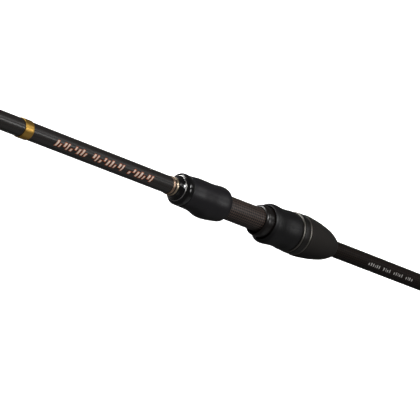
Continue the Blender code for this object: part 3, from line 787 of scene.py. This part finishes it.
# print on the blank's -Y side: marks are (start, width, low edge, high edge) in mm
def makePrint(name, marks, x0, slant, lift, thickness, material):
    bm = bmesh.new()
    for start, width, low, high in marks:
        mark = bmesh.new()
        bmesh.ops.create_cube(mark, size=1.0)
        tall = [e for e in mark.edges if abs(e.verts[0].co.y - e.verts[1].co.y) > 0.5]
        cuts = max(1, round((high - low) * 2))
        bmesh.ops.subdivide_edges(mark, edges=tall, cuts=cuts, use_grid_fill=True)
        for vert in mark.verts:
            along, up, out = vert.co
            height = low + (up + 0.5) * (high - low)
            x = x0 + start + (along + 0.5) * width + slant * height
            radius = blankRadius(x) + lift + (out + 0.5) * thickness
            angle = height / radius
            vert.co = (x * mm, -radius * math.cos(angle) * mm, radius * math.sin(angle) * mm)
        loose = bpy.data.meshes.new("mark")
        mark.to_mesh(loose)
        mark.free()
        bm.from_mesh(loose)
        bpy.data.meshes.remove(loose)
    finishPiece(name, bm, material, "butt_section", ())


# how far ink stands off the blank, and the thickness of a first and a second coat, in mm
film = {"lift": 0.02, "base": 0.03, "top": 0.02}
# an abstract foil pattern in three runs: slanted bars of uneven lengths, edged in copper with a pale core
label = {
    "start": 141.2,
    "height": 4.3,
    "slant": 0.42,
    "coreShare": 0.5,
    "edge": 0.62,
    "runs": (9, 9, 7),
    "pitch": 3.08,
    "runGap": 3.4,
}
# each bar: its width in mm, and its low and high ends in shares of the height
bars = (
    (1.9, 0.0, 1.0),
    (1.5, 0.0, 0.62),
    (2.0, 0.3, 1.0),
    (1.5, 0.0, 1.0),
    (2.0, 0.0, 0.5),
    (1.6, 0.42, 1.0),
    (1.9, 0.0, 0.85),
)


def makeLabel():
    edges, cores = [], []
    x = 0.0
    count = 0
    for run in label["runs"]:
        for _ in range(run):
            width, bottom, top = bars[count % len(bars)]
            for share, found in ((1.0, edges), (label["coreShare"], cores)):
                trim = (1 - share) * label["edge"]
                low = (bottom - 0.5) * label["height"] + trim
                high = (top - 0.5) * label["height"] - trim
                found.append((x + trim, width - 2 * trim, low, high))
            x += label["pitch"]
            count += 1
        x += label["runGap"]
    makePrint("labelEdges", edges, label["start"], label["slant"], film["lift"], film["base"], copperInk)
    above = film["lift"] + film["base"]
    makePrint("labelCores", cores, label["start"], label["slant"], above, film["top"], paleInk)


# small pale ticks of uneven widths, in the place of the printed size
sizeMarks = {
    "start": 413.0,
    "height": 1.9,
    "groups": (
        (1.5, 1.3, 1.3, 0.9, 1.3, 1.2),
        (1.6, 0.7, 1.3, 1.3),
        (1.4, 1.2, 0.6, 1.4, 1.3),
        (1.3, 0.6, 1.4, 1.5),
    ),
    "fill": 0.55,
    "tall": 0.5,
    "short": 0.25,
    "gap": 0.55,
    "space": 1.6,
}


def makeSizeMarks():
    marks = []
    x = 0.0
    count = 0
    for group in sizeMarks["groups"]:
        for width in group:
            # every third place is short, and a space between groups takes a place too
            top = sizeMarks["height"] * (sizeMarks["tall"] if count % 3 else sizeMarks["short"])
            marks.append((x, width * sizeMarks["fill"], -sizeMarks["height"] / 2, top))
            x += width + sizeMarks["gap"]
            count += 1
        x += sizeMarks["space"] + sizeMarks["gap"]
        count += 1
    makePrint("sizeMarks", marks, sizeMarks["start"], 0.0, film["lift"], film["base"], whiteInk)


# the tip section's socket swells over the butt section's end and runs out in a taper
ferrule = {"gap": 0.1, "wall": 0.8, "taper": 30.0, "taperSteps": 6, "socketEnd": 1178.0, "socketSteps": 4}
tipBore = {"end": 0.35, "wall": 0.7}


def makeTipBlank():
    start, end = startOf("tip_blank"), endOf("tip_blank")
    socketEnd = ferrule["socketEnd"]
    extra = (ferrule["gap"] + ferrule["wall"]) * flat
    outside = taperedRun(start, socketEnd, ferrule["socketSteps"], extra)
    for n in range(1, ferrule["taperSteps"] + 1):
        share = n / ferrule["taperSteps"]
        ease = (1 + math.cos(math.pi * share)) / 2
        x = socketEnd + ferrule["taper"] * share
        outside.append((x, blankRadius(x) + extra * ease))
    outside += taperedRun(socketEnd + ferrule["taper"], end, blank["steps"])[1:]
    outline = [
        (start, blankRadius(start) + ferrule["gap"]),
        *outside,
        (end, tipBore["end"] * flat),
        (socketEnd, blankRadius(socketEnd) - tipBore["wall"]),
        (socketEnd, blankRadius(socketEnd) + ferrule["gap"]),
    ]
    turnPiece("tipBlank", outline, tipShadedLacquer, "tip_section", "tip_blank", 0.05, 48)


# winding: how far its ends lie below its middle, where they rise, and how thick it is, in mm
winding = {"edge": 0.225, "shoulder": 0.06, "shoulderAt": 0.6, "fullAt": 1.6, "wall": 0.35}
ringSteps = 20


def middleAndRadius(node):
    # the height of a round node's axis, and its outer radius
    low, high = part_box(node)
    return (low.z + high.z) / 2 / mm, (high.z - low.z) / 2 / mm


# thread windings: epoxy rises over the thread and feathers out at both ends
def makeWinding(node, body):
    start, end = startOf(node), endOf(node)
    axisZ, radius = middleAndRadius(node)
    edge, shoulder = radius - winding["edge"], radius - winding["shoulder"]
    lift = smoothRun(
        [
            (start, edge),
            (start + winding["shoulderAt"], shoulder),
            (start + winding["fullAt"], radius),
            (end - winding["fullAt"], radius),
            (end - winding["shoulderAt"], shoulder),
            (end, edge),
        ],
        4,
    )
    inner = radius - winding["wall"]
    outline = [(start, inner), *lift, (end, inner)]
    turnPiece(f"{node}Epoxy", outline, threadWinding, body, node, 0.04, 48, axisZ)


def makeLineRing(node, body):
    start, end = startOf(node), endOf(node)
    wire = (end - start) / 2
    axisZ, radius = middleAndRadius(node)
    x = (start + end) / 2
    outline = []
    for n in range(ringSteps):
        turn = math.tau * n / ringSteps
        outline.append((x + wire * math.cos(turn), radius - wire + wire * math.sin(turn)))
    turnPiece(f"{node}Ceramic", outline, ceramic, body, node, 0, 64, axisZ)


# guide frames: the frame's own shape, its corners rounded as a pressed and polished wire's are
def makeFrame(node, body):
    bm = bmesh.new()
    bm.from_mesh(frame["nodes"][node].data)
    bmesh.ops.remove_doubles(bm, verts=bm.verts, dist=samePoint)
    bmesh.ops.dissolve_limit(bm, angle_limit=math.radians(1), verts=bm.verts, edges=bm.edges)
    bevelCorners(bm, 0.14, 40)
    bmesh.ops.triangulate(bm, faces=bm.faces)
    finishPiece(f"{node}Wire", bm, smokedSteel, body, (node,))


def makeGuides():
    for body, nodes in frame["record"]["behaviour"]["bodies"].items():
        for node in nodes:
            guide = node.startswith(("guide_", "tip_top", "ferrule"))
            if guide and "winding" in node:
                makeWinding(node, body)
            elif guide and node.endswith("_ring"):
                makeLineRing(node, body)
            elif guide and node.endswith("_frame"):
                makeFrame(node, body)
    makeTipTube()


# tip top's tube: its closed end is chamfered and has a floor inside
tipTube = {"face": 0.6, "chamfer": 0.3, "wall": 0.35, "floor": 0.8}


def makeTipTube():
    node = "tip_top_tube"
    start, end = startOf(node), endOf(node)
    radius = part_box(node)[1].z / mm
    bore = radius - tipTube["wall"]
    outline = [
        (end, 0),
        (end, radius * tipTube["face"]),
        (end - tipTube["chamfer"], radius),
        (start, radius),
        (start, bore),
        (end - tipTube["floor"], bore),
        (end - tipTube["floor"], 0),
    ]
    turnPiece("tipTopTube", outline, smokedSteel, "tip_section", node, 0.06, 32)


makeButtCap()
makeButtGrip()
makeButtBlank()
makeTrimRings()
makeSeatRear()
makeSeatBody()
makeSeatPipe()
makeMovingHood()
makeLockNut()
makeLabel()
makeSizeMarks()
print("handle made")
makeTipBlank()
makeGuides()
print("tip section and guides made")

# inner pieces keep the frame's own shape
innerFinishes = {"seat_arbor": arborFoam, "lock_nut_barrel": barrelNylon}
for node, piece in frame["nodes"].items():
    for start, material in innerFinishes.items():
        if node.startswith(start):
            for slot in piece.material_slots:
                slot.material = material

# the camera: how far the rod falls to the right and the camera's elevation, in degrees, the share of
# its look that runs along the rod, its distance in metres, and its aim and the width it sees in mm
camera = {
    "fall": 21.17,
    "alongRod": 0.69,
    "elevation": 4.0,
    "distance": 9.0,
    "aimX": 278.0,
    "aimUp": 0.6,
    "frameWidth": 246.2,
    "sensor": 36.0,
    "clipEnd": 500.0,
}


def makeCamera():
    elevation = math.radians(camera["elevation"])
    alongRod = camera["alongRod"]
    across = math.sqrt(math.cos(elevation) ** 2 - alongRod**2)
    look = Vector((alongRod, across, -math.sin(elevation)))
    rodInView = (Vector((1, 0, 0)) - alongRod * look).normalized()
    above = rodInView.cross(look)
    fall = math.radians(camera["fall"])
    right = math.cos(fall) * rodInView + math.sin(fall) * above
    up = math.cos(fall) * above - math.sin(fall) * rodInView
    lens = bpy.data.cameras.new("studioCamera")
    lens.sensor_width = camera["sensor"]
    lens.lens = camera["sensor"] * camera["distance"] / (camera["frameWidth"] * mm)
    lens.clip_end = camera["clipEnd"]
    holder = bpy.data.objects.new("studioCamera", lens)
    aim = Vector((camera["aimX"] * mm, 0, 0)) + up * camera["aimUp"] * mm
    turn = Matrix((right, up, -look)).transposed()
    holder.matrix_world = Matrix.Translation(aim - look * camera["distance"]) @ turn.to_4x4()
    bpy.context.scene.collection.objects.link(holder)
    bpy.context.scene.camera = holder


# each light: (place, aimed at, width, height, power, spread, whether it lights more than a sheen),
# in metres, watts and degrees
lights = {
    "keySoftbox": ((0.74, -0.8, 0.33), (0.22, 0, 0), 0.22, 0.2, 1.1, 180, True),
    "cameraSoftbox": ((-1.3, -1.8, 1.9), (0.3, 0, 0), 0.7, 0.5, 46.0, 180, True),
    "tableBounce": ((1.0, -0.7, -0.7), (0.3, 0, 0), 1.6, 0.9, 0.45, 180, False),
    "sideSoftbox": ((1.6, -1.6, 2.2), (1.6, 0, 0), 2.0, 0.6, 10.0, 180, True),
    "tipSoftbox": ((1.75, -1.6, 2.2), (1.75, 0, 0), 1.4, 0.6, 9.0, 30, True),
    "backFill": ((-1.6, 2.4, 1.3), (0.9, 0, 0), 1.2, 0.8, 60.0, 180, True),
}


def makeLights():
    for name, (place, target, width, height, power, spread, diffuse) in lights.items():
        light = bpy.data.lights.new(name, "AREA")
        light.shape = "RECTANGLE"
        light.size = width
        light.size_y = height
        light.energy = power
        light.spread = math.radians(spread)
        holder = bpy.data.objects.new(name, light)
        holder.visible_camera = False
        holder.visible_diffuse = diffuse
        aim = Vector(target) - Vector(place)
        turn = aim.to_track_quat("-Z", "Y").to_matrix().to_4x4()
        holder.matrix_world = Matrix.Translation(place) @ turn
        bpy.context.scene.collection.objects.link(holder)


# a white floor that shines evenly, far wider than any view, just under the lowest guide, and a white
# world that the camera sees at full strength and the rod only faintly
stage = {
    "floorHalf": 130.0,
    "middleX": 1.1,
    "drop": 0.0002,
    "paper": "#ffffff",
    "shine": 1.0,
    "ambient": 0.06,
}


def makeStage():
    bm = bmesh.new()
    bmesh.ops.create_grid(bm, x_segments=1, y_segments=1, size=stage["floorHalf"])
    bmesh.ops.translate(bm, verts=bm.verts, vec=(stage["middleX"], 0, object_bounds()[0].z - stage["drop"]))
    mesh = bpy.data.meshes.new("paperFloor")
    bm.to_mesh(mesh)
    bm.free()
    paper, tree, shader = startMaterial("whitePaperFloor", stage["paper"], 0.9)
    shader.inputs["Emission Color"].default_value = hexColour(stage["paper"])
    shader.inputs["Emission Strength"].default_value = stage["shine"]
    mesh.materials.append(paper)
    floor = bpy.data.objects.new("paperFloor", mesh)
    floor.visible_glossy = False
    floor.visible_diffuse = False
    floor.visible_shadow = False
    bpy.context.scene.collection.objects.link(floor)
    world = bpy.data.worlds.new("studioWorld")
    bpy.context.scene.world = world
    world.use_nodes = True
    tree = world.node_tree
    background = tree.nodes["Background"]
    seen = addNode(tree, "ShaderNodeLightPath")
    shade = addNode(
        tree,
        "ShaderNodeMix",
        {"Factor": seen.outputs["Is Camera Ray"], 2: stage["ambient"], 3: stage["shine"]},
        data_type="FLOAT",
    )
    tree.links.new(shade.outputs[0], background.inputs["Strength"])
    background.inputs["Color"].default_value = hexColour(stage["paper"])
    bpy.context.scene.view_settings.view_transform = "Standard"


makeCamera()
makeLights()
makeStage()
print("stage made")
